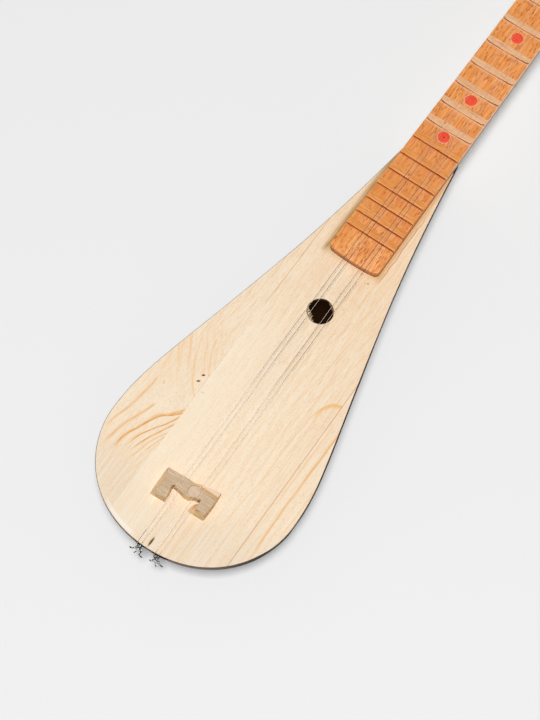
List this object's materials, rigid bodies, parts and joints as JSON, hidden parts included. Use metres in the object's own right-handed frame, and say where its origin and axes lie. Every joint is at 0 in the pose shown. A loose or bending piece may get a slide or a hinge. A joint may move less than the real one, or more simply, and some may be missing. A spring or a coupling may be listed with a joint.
{
  "type": "tanbur",
  "caption": "Long-necked plucked lute with a carved teardrop bowl, flat jointed soundboard, raised wooden frets, loose askew bridge and turning friction pegs.",
  "frame": {"origin": "on the flat of the bowl's back, under the middle line of the instrument", "axes": "+X along the neck towards the head, +Y to the left side seen from the tail, +Z out of the soundboard"},
  "size_m": [0.8227, 0.1622, 0.0562],
  "materials": {
    "dark_bowl_wood": "satin dark stain",
    "soundboard_pine": "satin clear varnish",
    "brace_pine": "bare",
    "neck_maple": "satin oil",
    "fingerboard_beech": "satin orange stain, worn under the strings",
    "fret_beech": "glossy orange stain",
    "pale_fret_beech": "satin oil",
    "bridge_wood": "bare",
    "peg_wood": "polished dark stain",
    "red_marker": "gloss",
    "string_steel": "drawn wire"
  },
  "bodies": {
    "instrument": {"bowl": "dark_bowl_wood", "soundboard_left": "soundboard_pine", "soundboard_centre": "soundboard_pine", "soundboard_right": "soundboard_pine", "brace_1": "brace_pine", "brace_2": "brace_pine", "brace_3": "brace_pine", "neck": "neck_maple", "fingerboard": "fingerboard_beech", "fret_01": "pale_fret_beech", "fret_02": "pale_fret_beech", "fret_03": "pale_fret_beech", "fret_04": "pale_fret_beech", "fret_05": "pale_fret_beech", "fret_06": "pale_fret_beech", "fret_07": "pale_fret_beech", "fret_08": "pale_fret_beech", "fret_09": "pale_fret_beech", "fret_10": "pale_fret_beech", "fret_11": "pale_fret_beech", "fret_12": "fret_beech", "fret_13": "fret_beech", "fret_14": "fret_beech", "fret_15": "fret_beech", "fret_16": "fret_beech", "fret_17": "fret_beech", "fret_18": "fret_beech", "dot_05": "red_marker", "dot_07": "red_marker", "dot_10": "red_marker", "dot_12": "red_marker", "nut": "bridge_wood", "bridge": "bridge_wood", "tail_pin_left": "string_steel", "tail_pin_right": "string_steel", "string_1": "string_steel", "string_2": "string_steel", "string_3": "string_steel", "string_4": "string_steel"},
    "first_peg": {"peg_1": "peg_wood", "winding_1": "string_steel"},
    "second_peg": {"peg_2": "peg_wood", "winding_2": "string_steel"},
    "third_peg": {"peg_3": "peg_wood", "winding_3": "string_steel"},
    "fourth_peg": {"peg_4": "peg_wood", "winding_4": "string_steel"}
  },
  "joints": [
    {"name": "first_peg_turn", "type": "hinge", "parent": "instrument", "child": "first_peg", "pos_m": [0.55458, 0, 0.03331], "axis": [0, 1, 0], "continuous": true},
    {"name": "second_peg_turn", "type": "hinge", "parent": "instrument", "child": "second_peg", "pos_m": [0.57682, 0, 0.02746], "axis": [0, 1, 0], "continuous": true},
    {"name": "third_peg_turn", "type": "hinge", "parent": "instrument", "child": "third_peg", "pos_m": [0.59906, 0, 0.0216], "axis": [0, 1, 0], "continuous": true},
    {"name": "fourth_peg_turn", "type": "hinge", "parent": "instrument", "child": "fourth_peg", "pos_m": [0.6213, 0, 0.01575], "axis": [0, 1, 0], "continuous": true}
  ]
}
